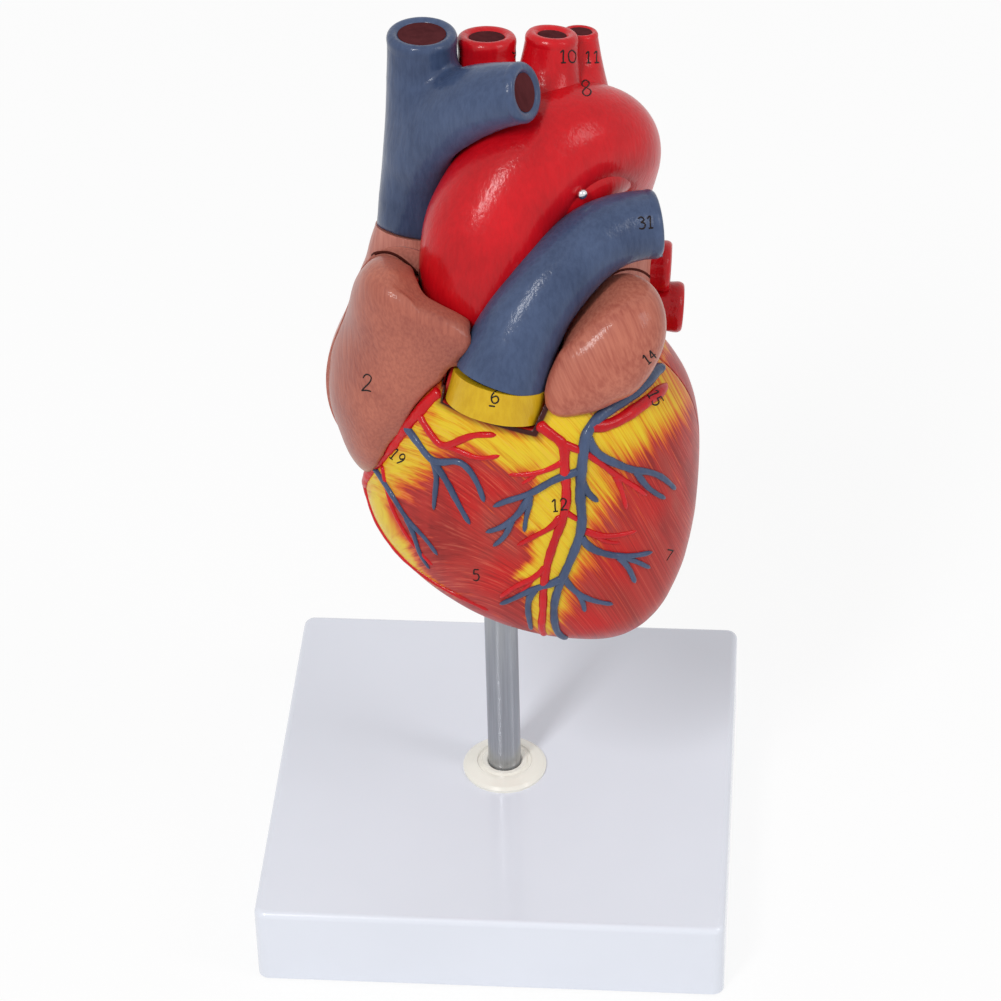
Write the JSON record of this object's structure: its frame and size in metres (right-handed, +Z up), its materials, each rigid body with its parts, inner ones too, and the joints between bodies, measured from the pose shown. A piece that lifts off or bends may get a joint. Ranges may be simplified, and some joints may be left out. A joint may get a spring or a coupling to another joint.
{
  "type": "anatomical heart model",
  "caption": "Life-size painted anatomy model of a human heart whose front wall lifts off, turning on a steel rod in a square white base",
  "frame": {"origin": "centre of the base's footprint at the bottom of the feet", "axes": "+Z up along the rod, -Y towards the viewer at the front of the heart, +X to the viewer's right"},
  "size_m": [0.12, 0.12, 0.2403],
  "materials": {
    "base": "glossy white moulding",
    "feet": "matt",
    "collar": "glossy cream-white",
    "rod": "drawn bar",
    "muscle": "painted red and yellow under clear lacquer",
    "atrium": "painted pink-brown under lacquer",
    "artery": "painted glossy red",
    "vein": "painted glossy slate blue",
    "fat": "painted glossy yellow",
    "valve": "painted cream",
    "cord": "painted cream",
    "inner": "painted dull red",
    "magnet": "nickel plated",
    "bush": "turned",
    "pin": "polished ball"
  },
  "bodies": {
    "stand": {"base_plate": "base", "rubber_feet": "feet", "collar": "collar"},
    "rod": {"stand_rod": "rod"},
    "heart": {"rear_ventricle_wall": "muscle", "right_atrium": "atrium", "left_atrium": "atrium", "aorta": "artery", "brachiocephalic_artery": "artery", "left_common_carotid_artery": "artery", "left_subclavian_artery": "artery", "superior_vena_cava": "vein", "inferior_vena_cava": "vein", "pulmonary_trunk": "vein", "right_pulmonary_artery": "vein", "pulmonary_ring": "fat", "left_pulmonary_veins": "artery", "right_pulmonary_veins": "artery", "tricuspid_valve": "valve", "mitral_valve": "valve", "aortic_valve": "valve", "pulmonary_valve": "valve", "left_papillary_muscles": "inner", "right_papillary_muscles": "inner", "left_chordae": "cord", "right_chordae": "cord", "coronary_sinus": "vein", "middle_cardiac_vein": "vein", "posterior_descending_artery": "artery", "rear_magnets": "magnet", "socket_bush": "bush", "arch_pin": "pin"},
    "front_wall": {"front_ventricle_wall": "muscle", "right_auricle": "atrium", "left_auricle": "atrium", "right_coronary_artery": "artery", "marginal_artery": "artery", "anterior_descending_artery": "artery", "left_ventricular_branch": "artery", "anterior_cardiac_veins": "vein", "small_cardiac_vein": "vein", "great_cardiac_vein": "vein", "front_magnets": "magnet"}
  },
  "joints": [
    {"name": "rod_turn", "type": "hinge", "parent": "stand", "child": "rod", "pos_m": [0, 0, 0.02], "axis": [0, 0, 1], "continuous": true},
    {"name": "heart_lift", "type": "slide", "parent": "rod", "child": "heart", "axis": [0, 0, 1], "range_m": [0, 0.05]},
    {"name": "front_wall_off", "type": "slide", "parent": "heart", "child": "front_wall", "axis": [0, -1, 0], "range_m": [0, 0.07]}
  ]
}
